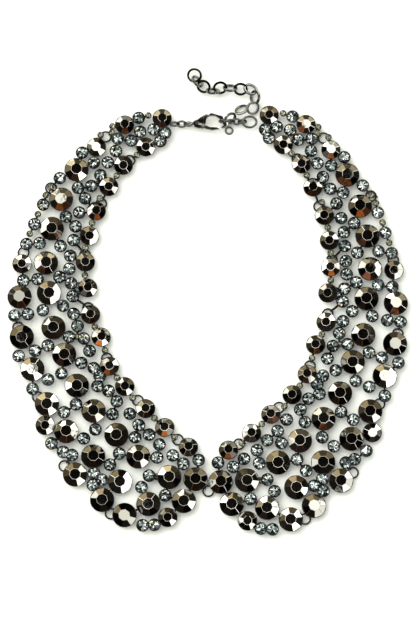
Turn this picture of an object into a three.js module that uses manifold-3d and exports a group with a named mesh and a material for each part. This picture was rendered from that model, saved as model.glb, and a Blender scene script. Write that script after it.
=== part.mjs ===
// Bib necklace of cut stones in soldered settings, lying flat and closed on its extension chain.
// Millimetres. X runs across the bib, Y from the bottom of the bib to the clasp, Z up.
import * as THREE from "three";
import { mergeVertices } from "three/addons/utils/BufferGeometryUtils.js";
import Module from "manifold-3d";

// Driving sizes of the bib
const HALF_WIDTH = 92; // middle line to the widest stone's centre line, 200 chart steps
const BIB_LENGTH = 197.4; // bottom line of the chart to its top, 420 chart steps
const WIDTH_STEPS = 200;
const LENGTH_STEPS = 420;

// Driving sizes of the stones, each with its setting
const SETTINGS = {
  large: { radius: 5.5, back: 4.6, wall: 2.6, table: 2.4, height: 4.3 },
  medium: { radius: 4.4, back: 3.6, wall: 2.2, table: 1.9, height: 3.7 },
  chaton: { radius: 2.85, back: 1.5, wall: 2.0, table: 1.3, height: 2.9 },
};
const FACETS = 8; // crown facets of each cut stone

// Driving sizes of the metal under the stones
const JUMP_RING_RADIUS = 3.05; // centre line of the wire
const WIRE = 0.8;
const WIRE_SIDES = 5;
const RING_SIDES = 10;
const CLEARANCE = 0.3; // running gap between pieces that hang in each other
const BAR_WIDTH = 1.0;
const BAR_HEIGHT = 0.9;
const EYE_METAL = 0.35; // metal below the ring in a soldered eye
const EYE_LEG = 0.5;
const EYE_DEPTH = 0.9; // along the wire that passes through it
const EYE_SLACK = 0.25; // extra room for a ring's corners

// Driving sizes of the clasp and the chain
const CLASP_LENGTH = 15.3; // rounded base to hook end
const CLASP_THICKNESS = 2.0;
const CLASP_HEIGHT = 3.1; // middle of the clasp above the surface it lies on
const PIVOT_RADIUS = 1.25;
const CHAIN_WIRE = 0.8;
const CHAIN_LINK = { long: 2.75, wide: 2.35 }; // centre line half sizes
const CHAIN_PITCH = 2 * CHAIN_LINK.long - CHAIN_WIRE; // links of the free chain touch
const LINK_TILT = Math.PI / 4;
const CHAIN_WALK_STEPS = 400;
const END_RING_RADIUS = 2.9;

// One row for each stone of the left half, segment by segment from the clasp to the middle:
// setting, chart steps out from the middle line, chart steps up from the bottom line.
const STONES = [
  [
    ["medium", 46.5, 415.5],
    ["medium", 84.2, 409.0],
    ["medium", 63.0, 386.5],
    ["chaton", 68.7, 401.9],
    ["chaton", 55.1, 404.1],
  ],
  [
    ["large", 132.5, 363.3],
    ["medium", 112.6, 386.3],
    ["medium", 85.4, 367.9],
    ["medium", 100.1, 346.3],
    ["chaton", 127.0, 380.6],
    ["chaton", 101.2, 370.8],
    ["chaton", 149.3, 354.8],
  ],
  [
    ["large", 147.7, 333.5],
    ["large", 156.9, 303.8],
    ["medium", 112.5, 321.6],
    ["medium", 119.3, 296.7],
    ["chaton", 142.9, 315.9],
    ["chaton", 129.6, 320.0],
    ["chaton", 174.5, 308.4],
    ["chaton", 182.4, 288.3],
  ],
  [
    ["large", 162.6, 269.3],
    ["large", 159.5, 239.3],
    ["large", 188.8, 235.3],
    ["medium", 186.6, 268.5],
    ["medium", 123.2, 270.3],
    ["medium", 120.8, 244.3],
    ["chaton", 139.2, 263.4],
    ["chaton", 149.1, 255.4],
    ["chaton", 185.2, 251.6],
    ["chaton", 171.0, 253.1],
    ["chaton", 180.4, 217.9],
    ["chaton", 193.8, 216.6],
  ],
  [
    ["large", 154.7, 204.5],
    ["large", 186.3, 195.2],
    ["large", 143.8, 177.5],
    ["large", 175.4, 163.2],
    ["medium", 117.8, 217.7],
    ["medium", 107.1, 195.2],
    ["chaton", 130.8, 206.3],
    ["chaton", 139.0, 195.3],
    ["chaton", 160.2, 186.7],
    ["chaton", 172.9, 181.5],
    ["chaton", 175.2, 143.5],
  ],
  [
    ["large", 131.0, 146.7],
    ["large", 160.8, 128.4],
    ["large", 114.2, 121.5],
    ["large", 141.5, 101.3],
    ["medium", 162.3, 107.3],
    ["medium", 98.7, 166.2],
    ["medium", 83.3, 145.8],
    ["chaton", 107.8, 150.9],
    ["chaton", 113.2, 141.5],
    ["chaton", 99.5, 141.6],
    ["chaton", 131.8, 128.1],
    ["chaton", 143.7, 120.2],
    ["chaton", 143.4, 86.8],
    ["chaton", 145.3, 75.1],
  ],
  [
    ["large", 91.4, 97.8],
    ["large", 114.5, 76.6],
    ["large", 69.7, 76.2],
    ["large", 132.3, 58.6],
    ["large", 87.8, 51.7],
    ["large", 105.3, 33.5],
    ["medium", 62.5, 123.9],
    ["medium", 43.3, 105.2],
    ["chaton", 69.2, 107.5],
    ["chaton", 72.9, 95.4],
    ["chaton", 48.7, 88.2],
    ["chaton", 51.0, 75.4],
    ["chaton", 88.6, 79.3],
    ["chaton", 97.7, 68.2],
  ],
  [
    ["large", 38.7, 56.1],
    ["large", 12.7, 54.0],
    ["large", 24.3, 32.4],
    ["large", 59.4, 29.5],
    ["large", 83.1, 18.6],
    ["medium", 19.8, 85.8],
    ["medium", 40.2, 16.4],
    ["chaton", 9.6, 72.9],
  ],
];

// One row for each joint between neighbouring segments: the jump ring on the neck side,
// then the one on the outer side, both as chart steps out and up.
const JUMP_RINGS = [
  [79.3, 374.0, 103.3, 398.0],
  [107.7, 330.2, 158.3, 346.0],
  [123.7, 278.5, 185.3, 281.0],
  [120.3, 225.5, 190.3, 206.0],
  [101.3, 175.0, 170.0, 136.4],
  [70.3, 133.0, 143.3, 68.0],
  [30.3, 94.0, 96.9, 20.9],
];

// How each right segment lies against the left one's mirror image:
// chart steps out, chart steps up, degrees turned anticlockwise about its own middle.
const RIGHT_LIE = [
  [13.9, 2.0, -4.5],
  [8.0, -2.9, -8.0],
  [3.2, -6.7, -4.1],
  [-1.0, -5.8, -1.0],
  [0.3, -7.2, 0.6],
  [0.6, -7.6, 0.7],
  [-0.3, -5.8, -0.2],
  [-0.6, -3.3, -1.3],
];

// The clasp's pivot and the link in front, as chart steps right of the middle line and up
const CLASP_PIVOT = [-5.3, 409.0];
const CENTRE_LINK = [0, 38.5];

// Loose links at the top: middle right of and above the clasp's pivot and half sizes of the
// centre line, all as shares of the clasp's length, and the tilt about the link's own length
const LOOSE_LINKS = {
  clasp_link: { middle: [-0.646, 0.031], long: 0.214, wide: 0.124, tilt: 0 },
  hooked_link: { middle: [0.667, 0.111], long: 0.18, wide: 0.18, tilt: Math.PI / 2 },
  slanting_link: { middle: [1.013, 0.111], long: 0.2745, wide: 0.17, tilt: -LINK_TILT },
  oval_ring: { middle: [1.410, 0.104], long: 0.229, wide: 0.1765, tilt: 0 },
};
// Heights of their middles above the surface
const LINK_HEIGHTS = { clasp_link: 2.8, slanting_link: 2.6, oval_ring: 2.4 };

// The free chain's route from the hooked link to its end ring, right of and above the
// clasp's pivot, as shares of the clasp's length
const CHAIN_ROUTE = [
  [0.812, 0.194],
  [1.170, 0.485],
  [1.506, 0.541],
  [1.578, 0.872],
  [1.440, 1.118],
  [1.139, 1.124],
  [0.824, 1.164],
  [0.520, 1.167],
  [0.295, 1.069],
  [0.018, 1.207],
  [-0.150, 1.367],
  [-0.259, 1.766],
];

const END_EYE_RADIUS = 1.5;
const END_EYE_HEIGHT = 2.5;
const LEVER_THICKNESS = 1.0;
const PIN_RADIUS = 0.4;
const CHAIN_START_HEIGHT = 4.75;
const DISC_SIDES = 12;

// Where the clasp's body is opened for the lever's arm, as shares of the clasp's length
const LEVER_ROOM = [
  [0.3, 0.12],
  [0.5, 0.1],
  [0.5, -0.2],
  [0.27, -0.2],
];

// Clasp outlines, as shares of the clasp's length from its rounded base and from its middle line
const CLASP_BODY = [
  [0.06, -0.11],
  [0, -0.06],
  [0, 0.06],
  [0.06, 0.12],
  [0.2, 0.17],
  [0.3, 0.25],
  [0.35, 0.33],
  [0.41, 0.3],
  [0.56, 0.36],
  [0.73, 0.33],
  [0.89, 0.23],
  [0.98, 0.1],
  [1, -0.02],
  [0.97, -0.11],
  [0.91, -0.14],
  [0.86, -0.1],
  [0.88, -0.03],
  [0.87, 0.07],
  [0.8, 0.17],
  [0.68, 0.24],
  [0.55, 0.25],
  [0.45, 0.2],
  [0.41, 0.12],
  [0.4, -0.04],
  [0.36, -0.13],
  [0.2, -0.15],
];
const LEVER_ARM = [
  [0.3, 0.03],
  [0.42, -0.02],
  [0.6, -0.085],
  [0.84, -0.06],
  [0.84, -0.13],
  [0.6, -0.165],
  [0.44, -0.14],
  [0.28, -0.09],
];
const PIVOT_SHARE = { along: 0.315, across: -0.03 };

const CHAIN_HEIGHT = END_RING_RADIUS * Math.sin(LINK_TILT) + CHAIN_WIRE / 2;
const STEP_ACROSS = HALF_WIDTH / WIDTH_STEPS;
const STEP_ALONG = BIB_LENGTH / LENGTH_STEPS;
const RING_HEIGHT = EYE_METAL + CLEARANCE + WIRE / 2;
const UNDERSIDE = RING_HEIGHT + WIRE / 2 + CLEARANCE;

const gunmetal = new THREE.MeshStandardMaterial({
  color: 0x5a5b60,
  roughness: 0.25,
  metalness: 1,
});
const darkStone = new THREE.MeshStandardMaterial({
  color: 0x2a2422,
  roughness: 0.08,
  metalness: 0.9,
});

const wasm = await Module();
wasm.setup();

// A closed geometry as a solid that can be joined and cut
function toSolid(geometry) {
  const bare = geometry.index ? geometry.toNonIndexed() : geometry.clone();
  bare.deleteAttribute("normal");
  bare.deleteAttribute("uv");
  const merged = mergeVertices(bare, 1e-4);
  return new wasm.Manifold(
    new wasm.Mesh({
      numProp: 3,
      vertProperties: merged.getAttribute("position").array,
      triVerts: new Uint32Array(merged.index.array),
    }),
  );
}

function join(solids) {
  return solids.reduce((whole, next) => whole.add(next));
}

function toMesh(name, solid, material) {
  const { vertProperties, triVerts } = solid.getMesh();
  const geometry = new THREE.BufferGeometry();
  geometry.setAttribute("position", new THREE.BufferAttribute(vertProperties, 3));
  geometry.setIndex(new THREE.BufferAttribute(triVerts, 1));
  geometry.computeVertexNormals();
  const mesh = new THREE.Mesh(geometry, material);
  mesh.name = name;
  return mesh;
}

// A chart place as millimetres right of the middle line and up from the bottom line
function chartPoint(across, along) {
  return new THREE.Vector2(across * STEP_ACROSS, along * STEP_ALONG);
}

// The middle of a segment's stones on the right side, before its own lie is added
function segmentMiddle(index) {
  const middle = new THREE.Vector2();
  for (const [, across, along] of STONES[index]) {
    middle.add(chartPoint(across, along));
  }
  return middle.divideScalar(STONES[index].length);
}

// Where a chart place of a segment lies on either side of the bib
function lie(side, index, across, along) {
  if (side === "left") {
    return chartPoint(-across, along);
  }
  const [out, up, turn] = RIGHT_LIE[index];
  return chartPoint(across, along)
    .rotateAround(segmentMiddle(index), THREE.MathUtils.degToRad(turn))
    .add(chartPoint(out, up));
}

// A closed solid through level outlines of FACETS corners each, given as radius and height
function facetedSolid(levels) {
  const corners = [];
  const triangles = [];
  levels.forEach(([radius, height], level) => {
    for (let turn = 0; turn < FACETS; turn += 1) {
      const angle = (turn * 2 * Math.PI) / FACETS;
      corners.push(radius * Math.cos(angle), radius * Math.sin(angle), height);
      const here = level * FACETS + turn;
      const next = level * FACETS + ((turn + 1) % FACETS);
      if (level > 0) {
        triangles.push(here - FACETS, next - FACETS, next);
        triangles.push(here - FACETS, next, here);
      }
    }
  });
  const top = (levels.length - 1) * FACETS;
  for (let corner = 1; corner < FACETS - 1; corner += 1) {
    triangles.push(0, corner + 1, corner);
    triangles.push(top, top + corner, top + corner + 1);
  }
  const geometry = new THREE.BufferGeometry();
  geometry.setAttribute("position", new THREE.Float32BufferAttribute(corners, 3));
  geometry.setIndex(triangles);
  return geometry;
}

// A cut stone on its setting: flat back, widening wall, crown facets and flat table,
// with one facet of the wall facing the neighbour that carries it
function stoneSolid(stone) {
  const { radius, back, wall, table, height } = SETTINGS[stone.setting];
  const geometry = facetedSolid([
    [back, 0],
    [radius, wall],
    [table, height],
  ]);
  geometry.rotateZ(stone.facing - Math.PI / FACETS);
  geometry.translate(stone.place.x, stone.place.y, 0);
  return toSolid(geometry);
}

// A flat strip of solder under two neighbours, from one middle to the other
function bar(from, to) {
  const run = to.clone().sub(from);
  const geometry = new THREE.BoxGeometry(run.length(), BAR_WIDTH, BAR_HEIGHT);
  geometry.translate(0, 0, BAR_HEIGHT / 2);
  geometry.rotateZ(run.angle());
  const middle = from.clone().add(to).divideScalar(2);
  geometry.translate(middle.x, middle.y, 0);
  return toSolid(geometry);
}

// Pairs of neighbours that carry each other: the shortest set of gaps that joins every stone
function solderedPairs(stones) {
  const gap = (a, b) =>
    a.place.distanceTo(b.place) - SETTINGS[a.setting].radius - SETTINGS[b.setting].radius;
  const joined = [stones[0]];
  const loose = stones.slice(1);
  const pairs = [];
  while (loose.length) {
    let best = null;
    for (const held of joined) {
      for (const free of loose) {
        if (!best || gap(held, free) < best.gap) {
          best = { held, free, gap: gap(held, free) };
        }
      }
    }
    pairs.push([best.held, best.free]);
    joined.push(best.free);
    loose.splice(loose.indexOf(best.free), 1);
  }
  return pairs;
}

// Jump ring places beside a joint: the mean of where its two segments put it
function jumpRingPlace(side, joint, row) {
  const [neckAcross, neckAlong, outAcross, outAlong] = JUMP_RINGS[joint];
  const steps = row === "neck" ? [neckAcross, neckAlong] : [outAcross, outAlong];
  const above = lie(side, joint, ...steps);
  const below = lie(side, joint + 1, ...steps);
  return above.add(below).divideScalar(2);
}

function nearestStone(stones, point) {
  return stones.reduce((best, stone) =>
    stone.place.distanceTo(point) < best.place.distanceTo(point) ? stone : best,
  );
}

// A soldered eye under a stone: two legs and a floor that a flat ring's wire runs through,
// on a strip from the stone where the ring lies past the stone's back
function eyeSolid(stone, ringPlace) {
  const toward = stone.place.clone().sub(ringPlace).normalize();
  const place = ringPlace.clone().addScaledVector(toward, JUMP_RING_RADIUS);
  const inside = WIRE / 2 + CLEARANCE + EYE_SLACK;
  const outside = inside + EYE_LEG;
  const floor = -UNDERSIDE;
  const top = BAR_HEIGHT / 3;
  const outline = new THREE.Shape();
  outline.moveTo(-outside, floor);
  outline.lineTo(outside, floor);
  outline.lineTo(outside, top);
  outline.lineTo(inside, top);
  outline.lineTo(inside, floor + EYE_METAL);
  outline.lineTo(-inside, floor + EYE_METAL);
  outline.lineTo(-inside, top);
  outline.lineTo(-outside, top);
  const geometry = new THREE.ExtrudeGeometry(outline, {
    depth: EYE_DEPTH,
    bevelEnabled: false,
  });
  geometry.translate(0, 0, -EYE_DEPTH / 2);
  geometry.rotateX(Math.PI / 2);
  geometry.rotateZ(toward.angle());
  geometry.translate(place.x, place.y, 0);
  const eye = toSolid(geometry);
  const far = stone.place.distanceTo(place) + outside;
  if (far < SETTINGS[stone.setting].back) {
    return eye;
  }
  const stripEnd = place.clone().addScaledVector(toward, -outside);
  return eye.add(bar(stone.place, stripEnd));
}

function ringSolid(long, wide, wire) {
  const geometry = new THREE.TorusGeometry(long, wire / 2, WIRE_SIDES, RING_SIDES);
  geometry.scale(1, wide / long, 1);
  return geometry;
}

function segmentStones(side, index) {
  return STONES[index].map(([setting, across, along]) => ({
    setting,
    place: lie(side, index, across, along),
    facing: 0,
  }));
}

// A place at the top, given right of and above the clasp's pivot in shares of its length
function claspPlace([right, above]) {
  const offset = new THREE.Vector2(right, above).multiplyScalar(CLASP_LENGTH);
  return chartPoint(...CLASP_PIVOT).add(offset);
}

// The upright eye that the last link towards a half hangs in, on a bar from the end stone
function endEye(stone, side) {
  const inward = side === "left" ? 1 : -1;
  const geometry = ringSolid(END_EYE_RADIUS, END_EYE_RADIUS, WIRE);
  geometry.rotateX(Math.PI / 2);
  const link = side === "left" ? LOOSE_LINKS.clasp_link : LOOSE_LINKS.oval_ring;
  const place = claspPlace(link.middle);
  place.x -= inward * (link.long * CLASP_LENGTH + CLEARANCE);
  geometry.translate(place.x, place.y, END_EYE_HEIGHT - UNDERSIDE);
  const nearWire = place.clone().sub(new THREE.Vector2(inward * END_EYE_RADIUS, 0));
  return toSolid(geometry).add(bar(stone.place, nearWire));
}

function segmentMesh(side, index) {
  const stones = segmentStones(side, index);
  const pairs = solderedPairs(stones);
  for (const [held, free] of pairs) {
    free.facing = held.place.clone().sub(free.place).angle();
  }
  const solids = stones.map(stoneSolid);
  for (const [held, free] of pairs) {
    solids.push(bar(held.place, free.place));
  }
  for (const joint of [index - 1, index]) {
    if (joint < 0 || joint >= JUMP_RINGS.length) {
      continue;
    }
    for (const row of ["neck", "outer"]) {
      const place = jumpRingPlace(side, joint, row);
      solids.push(eyeSolid(nearestStone(stones, place), place));
    }
  }
  if (index === 0) {
    solids.push(endEye(stones[0], side));
  }
  if (index === STONES.length - 1) {
    const place = chartPoint(...CENTRE_LINK);
    solids.push(eyeSolid(nearestStone(stones, place), place));
  }
  const mesh = toMesh(`${side}_segment_${index + 1}`, join(solids), darkStone);
  mesh.position.z = UNDERSIDE;
  return mesh;
}

function jumpRingMesh(name, place) {
  const mesh = new THREE.Mesh(ringSolid(JUMP_RING_RADIUS, JUMP_RING_RADIUS, WIRE), gunmetal);
  mesh.name = name;
  mesh.position.set(place.x, place.y, RING_HEIGHT);
  return mesh;
}

function looseLink(name) {
  const { middle, long, wide, tilt } = LOOSE_LINKS[name];
  const halfLength = long * CLASP_LENGTH;
  const mesh = new THREE.Mesh(ringSolid(halfLength, wide * CLASP_LENGTH, CHAIN_WIRE), gunmetal);
  const place = claspPlace(middle);
  mesh.name = name;
  mesh.rotation.x = tilt;
  mesh.position.set(place.x, place.y, LINK_HEIGHTS[name] ?? halfLength + CHAIN_WIRE / 2);
  return mesh;
}

function plate(outline, thickness) {
  const shape = new THREE.Shape(outline);
  const geometry = new THREE.ExtrudeGeometry(shape, { depth: thickness, bevelEnabled: false });
  geometry.translate(0, 0, -thickness / 2);
  return toSolid(geometry);
}

function disc(radius, thickness, x, y) {
  const geometry = new THREE.CylinderGeometry(radius, radius, thickness, DISC_SIDES);
  geometry.rotateX(Math.PI / 2);
  geometry.translate(x, y, 0);
  return toSolid(geometry);
}

const claspPoint = ([along, across]) =>
  new THREE.Vector2(along * CLASP_LENGTH, across * CLASP_LENGTH);

// The clasp's body: spine and hook in one plate, an eye on its base, a slot for the lever's root
function claspBody() {
  const pivot = claspPoint([PIVOT_SHARE.along, PIVOT_SHARE.across]);
  const body = plate(CLASP_BODY.map(claspPoint), CLASP_THICKNESS);
  const slot = LEVER_THICKNESS + 2 * CLEARANCE;
  const rootRoom = disc(PIVOT_RADIUS + CLEARANCE, slot, pivot.x, pivot.y);
  const armRoom = plate(LEVER_ROOM.map(claspPoint), slot);
  const pinHole = disc(PIN_RADIUS + CLEARANCE, CLASP_THICKNESS + 1, pivot.x, pivot.y);
  const eye = ringSolid(END_EYE_RADIUS, END_EYE_RADIUS, WIRE);
  eye.rotateX(Math.PI / 2);
  eye.translate(-END_EYE_RADIUS, 0, 0);
  const solid = body.subtract(rootRoom).subtract(armRoom).subtract(pinHole).add(toSolid(eye));
  return toMesh("clasp_body", solid, gunmetal);
}

function claspLever() {
  const pivot = claspPoint([PIVOT_SHARE.along, PIVOT_SHARE.across]);
  const root = disc(PIVOT_RADIUS, LEVER_THICKNESS, pivot.x, pivot.y);
  const pin = disc(PIN_RADIUS, CLASP_THICKNESS, pivot.x, pivot.y);
  const arm = plate(LEVER_ARM.map(claspPoint), LEVER_THICKNESS);
  return toMesh("clasp_lever", root.add(pin).add(arm), gunmetal);
}

// The free chain: touching links, each tilted the other way, walked along a curve
// through the route so that each link just reaches into the one before
function freeChain() {
  const points = CHAIN_ROUTE.map((steps, order) => {
    const place = claspPlace(steps);
    const height = order === 0 ? CHAIN_START_HEIGHT : CHAIN_HEIGHT;
    return new THREE.Vector3(place.x, place.y, height);
  });
  const walk = new THREE.CatmullRomCurve3(points).getSpacedPoints(CHAIN_WALK_STEPS);
  const places = [walk[0]];
  for (const point of walk) {
    if (point.distanceTo(places[places.length - 1]) >= CHAIN_PITCH) {
      places.push(point);
    }
  }
  const links = places.map((place, order) => {
    const before = places[Math.max(order - 1, 0)];
    const after = places[Math.min(order + 1, places.length - 1)];
    const heading = after.clone().sub(before);
    const last = order === places.length - 1;
    const long = last ? END_RING_RADIUS : CHAIN_LINK.long;
    const wide = last ? END_RING_RADIUS : CHAIN_LINK.wide;
    const geometry = ringSolid(long, wide, CHAIN_WIRE);
    const lean = order % 2 ? 1 : -1;
    geometry.rotateX(order === 0 ? 0 : LINK_TILT * lean);
    geometry.rotateZ(Math.atan2(heading.y, heading.x));
    geometry.translate(place.x, place.y, place.z);
    return toSolid(geometry);
  });
  return toMesh("extension_chain", join(links), gunmetal);
}

const necklace = new THREE.Group();
for (const side of ["left", "right"]) {
  STONES.forEach((row, index) => necklace.add(segmentMesh(side, index)));
  JUMP_RINGS.forEach((row, joint) => {
    for (const edge of ["neck", "outer"]) {
      const name = `${side}_${edge}_jump_ring_${joint + 1}`;
      necklace.add(jumpRingMesh(name, jumpRingPlace(side, joint, edge)));
    }
  });
}
necklace.add(jumpRingMesh("centre_link", chartPoint(...CENTRE_LINK)));

const clasp = new THREE.Group();
clasp.add(claspBody(), claspLever());
const pivotPlace = chartPoint(...CLASP_PIVOT);
clasp.position.set(
  pivotPlace.x - PIVOT_SHARE.along * CLASP_LENGTH,
  pivotPlace.y - PIVOT_SHARE.across * CLASP_LENGTH,
  CLASP_HEIGHT,
);
necklace.add(clasp);
necklace.add(...Object.keys(LOOSE_LINKS).map(looseLink), freeChain());

// The middle of the flat underside is the origin
const box = new THREE.Box3().setFromObject(necklace);
necklace.position.set(
  -(box.min.x + box.max.x) / 2,
  -(box.min.y + box.max.y) / 2,
  -box.min.z,
);

export default necklace;
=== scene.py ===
import bmesh
import bpy
import math
import random
from mathutils import Matrix, Vector


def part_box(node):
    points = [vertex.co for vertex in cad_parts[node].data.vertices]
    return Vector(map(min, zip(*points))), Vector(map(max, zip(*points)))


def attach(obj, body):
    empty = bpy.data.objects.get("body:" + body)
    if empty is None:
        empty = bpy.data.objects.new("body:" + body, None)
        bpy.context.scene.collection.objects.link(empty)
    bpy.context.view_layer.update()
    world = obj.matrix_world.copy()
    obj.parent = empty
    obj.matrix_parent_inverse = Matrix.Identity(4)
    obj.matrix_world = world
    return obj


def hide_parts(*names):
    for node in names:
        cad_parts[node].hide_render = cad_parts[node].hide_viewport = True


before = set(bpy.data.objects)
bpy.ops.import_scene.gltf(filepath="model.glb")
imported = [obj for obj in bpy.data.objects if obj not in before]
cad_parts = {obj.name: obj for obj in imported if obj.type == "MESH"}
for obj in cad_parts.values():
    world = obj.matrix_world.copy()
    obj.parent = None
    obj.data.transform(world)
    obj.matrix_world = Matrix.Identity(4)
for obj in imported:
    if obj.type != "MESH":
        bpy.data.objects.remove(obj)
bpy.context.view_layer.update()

bpy.ops.object.select_all(action="DESELECT")


# Camera
# Nearly straight down on the necklace as it lies, with its clasp at the top of the picture.
# A long lens far away keeps the two halves free of perspective.

CAMERA_ELEVATION = math.radians(78)
CAMERA_DISTANCE = 2.5
PICTURE_HEIGHT = 0.287  # of the necklace's plane that the long side of the picture takes in
SENSOR_LONG_SIDE = 0.036
LOOK_AT = Vector((0.00016, -0.0081, 0.004))

bpy.ops.object.camera_add(
    location=LOOK_AT
    + CAMERA_DISTANCE * Vector((0, -math.cos(CAMERA_ELEVATION), math.sin(CAMERA_ELEVATION))),
    rotation=(math.pi / 2 - CAMERA_ELEVATION, 0, 0),
)
camera = bpy.context.object
camera.name = "camera"
camera.data.sensor_width = SENSOR_LONG_SIDE * 1000
camera.data.lens = SENSOR_LONG_SIDE * 1000 * CAMERA_DISTANCE / PICTURE_HEIGHT
camera.data.clip_start = 0.01
camera.data.clip_end = 20
bpy.context.scene.camera = camera


# Floor, studio light and the dark card
# A white sweep of paper under a white tent. The tent is open towards the room, so low
# mirrors see warm and dark patches, and a dark card hangs over the middle of the bib.

PAPER_SIZE = 6
PAPER_WHITE = (0.93, 0.95, 0.86, 1)
TENT_LIGHT = 0.82
SOFT_BOX = {"light": 3.6, "power": 5, "towards": (-0.54, 0.36, 0.76)}  # on the objects
CARD_SIZE = (0.34, 0.52)
CARD_PLACE = (0, 0.1, 0.6)
CARD_SIDES = 32

bpy.ops.mesh.primitive_grid_add(x_subdivisions=2, y_subdivisions=2, size=PAPER_SIZE)
paper = bpy.context.object
paper.name = "paper"
paper_finish = bpy.data.materials.new("white_paper")
paper_finish.use_nodes = True
paper_shader = paper_finish.node_tree.nodes["Principled BSDF"]
paper_shader.inputs["Base Color"].default_value = PAPER_WHITE
paper_shader.inputs["Roughness"].default_value = 0.9
paper_shader.inputs["Specular IOR Level"].default_value = 0.1
paper.data.materials.append(paper_finish)

bpy.ops.mesh.primitive_circle_add(vertices=CARD_SIDES, radius=0.5, fill_type="NGON")
card = bpy.context.object
card.name = "dark_card"
card.data.transform(Matrix.LocRotScale(Vector(CARD_PLACE), None, Vector((*CARD_SIZE, 1))))
card_finish = bpy.data.materials.new("dark_card")
card_finish.use_nodes = True
card_shader = card_finish.node_tree.nodes["Principled BSDF"]
card_shader.inputs["Base Color"].default_value = (0.012, 0.010, 0.009, 1)
card_shader.inputs["Roughness"].default_value = 1
card_shader.inputs["Specular IOR Level"].default_value = 0
card.data.materials.append(card_finish)
for ray in ("camera", "diffuse", "shadow", "transmission"):
    setattr(card, "visible_" + ray, False)

# What a mirror sees at each height (0 level, 1 straight up) towards the sides, the clasp
# end and the camera's end: height, then light red, green, blue
SIDE_LIGHT = [
    (0.00, 0.45, 0.44, 0.40),
    (0.14, 0.30, 0.29, 0.26),
    (0.18, 0.08, 0.07, 0.055),
    (0.30, 0.03, 0.027, 0.022),
    (0.52, 0.035, 0.03, 0.025),
    (0.62, 0.08, 0.07, 0.06),
    (0.68, 3.6, 3.6, 3.5),
    (1.00, 4.0, 4.0, 3.9),
]
CLASP_END_LIGHT = [
    (0.00, 1.1, 0.85, 0.5),
    (0.06, 2.0, 1.65, 1.05),
    (0.27, 1.8, 1.38, 0.8),
    (0.33, 0.12, 0.09, 0.06),
    (0.46, 0.04, 0.035, 0.03),
    (0.58, 0.05, 0.045, 0.04),
    (0.64, 3.4, 3.4, 3.3),
    (1.00, 4.0, 4.0, 3.9),
]
CAMERA_END_LIGHT = [
    (0.00, 0.3, 0.27, 0.22),
    (0.25, 0.03, 0.025, 0.02),
    (0.50, 0.035, 0.025, 0.018),
    (0.57, 0.10, 0.04, 0.02),
    (0.62, 1.5, 0.42, 0.10),
    (0.65, 0.10, 0.04, 0.025),
    (0.74, 0.04, 0.03, 0.025),
    (0.80, 3.4, 3.4, 3.3),
    (1.00, 4.0, 4.0, 3.9),
]
WARM_END = (-0.174, 0.985)  # the clasp's end of the tent, seen in level direction
PATCHES = {"scale": 5.0, "reach": 0.26}  # how far the tent's edges wander in height
FOLDS = {"scale": 3.4, "dark_below": 0.47, "light_above": 0.53, "darkest": 0.12}
FOLDS_END = {"from": 0.6, "to": 0.7}  # above this height the tent has no dark folds
WINDOWS = {"scale": 3.1, "from": 0.634, "to": 0.644, "light": 5.5}

tent = bpy.data.worlds.new("white_tent")
bpy.context.scene.world = tent
tent.use_nodes = True
tent_nodes = tent.node_tree.nodes
tent_links = tent.node_tree.links
tent_nodes.clear()


def tent_math(operation, first, second=None):
    """One sum of the tent's light, from sockets or numbers."""
    node = tent_nodes.new("ShaderNodeMath")
    node.operation = operation
    for socket, value in zip(node.inputs, (first, second)):
        if value is None:
            continue
        if isinstance(value, (int, float)):
            socket.default_value = value
        else:
            tent_links.new(value, socket)
    return node.outputs[0]


def tent_ramp(height, stops):
    """The tent's light at each height, as a ramp through the stops."""
    node = tent_nodes.new("ShaderNodeValToRGB")
    brightest = max(max(stop[1:]) for stop in stops)
    ramp = node.color_ramp
    while len(ramp.elements) < len(stops):
        ramp.elements.new(1)
    for element, (at, *light) in zip(ramp.elements, stops):
        element.position = at
        element.color = (*[value / brightest for value in light], 1)
    tent_links.new(height, node.inputs["Fac"])
    scaled = tent_nodes.new("ShaderNodeVectorMath")
    scaled.operation = "SCALE"
    scaled.inputs["Scale"].default_value = brightest
    tent_links.new(node.outputs["Color"], scaled.inputs[0])
    return scaled.outputs[0]


def tent_weighed(light, weight):
    node = tent_nodes.new("ShaderNodeVectorMath")
    node.operation = "SCALE"
    tent_links.new(light, node.inputs[0])
    tent_links.new(weight, node.inputs["Scale"])
    return node.outputs[0]


def tent_sum(first, second):
    node = tent_nodes.new("ShaderNodeVectorMath")
    tent_links.new(first, node.inputs[0])
    tent_links.new(second, node.inputs[1])
    return node.outputs[0]


direction = tent_nodes.new("ShaderNodeTexCoord").outputs["Generated"]
axes = tent_nodes.new("ShaderNodeSeparateXYZ")
tent_links.new(direction, axes.inputs[0])
patches = tent_nodes.new("ShaderNodeTexNoise")
patches.inputs["Scale"].default_value = PATCHES["scale"]
patches.inputs["Detail"].default_value = 1
tent_links.new(direction, patches.inputs["Vector"])
wander = tent_math("MULTIPLY", tent_math("SUBTRACT", patches.outputs["Fac"], 0.5), PATCHES["reach"])
mirror_height = tent_math("ADD", axes.outputs["Z"], wander)
level_length = tent_math(
    "MAXIMUM", tent_math("SQRT", tent_math("SUBTRACT", 1, tent_math("POWER", axes.outputs["Z"], 2))),
    0.001,
)
towards_warm = tent_math(
    "ADD", tent_math("MULTIPLY", axes.outputs["X"], WARM_END[0]),
    tent_math("MULTIPLY", axes.outputs["Y"], WARM_END[1]),
)
warm_share = tent_math(
    "POWER", tent_math("DIVIDE", tent_math("MAXIMUM", towards_warm, 0), level_length), 2
)
towards_camera = tent_math("MAXIMUM", tent_math("MULTIPLY", axes.outputs["Y"], -1), 0)
camera_share = tent_math("POWER", tent_math("DIVIDE", towards_camera, level_length), 2)
side_share = tent_math(
    "MAXIMUM", tent_math("SUBTRACT", tent_math("SUBTRACT", 1, warm_share), camera_share), 0
)
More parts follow.
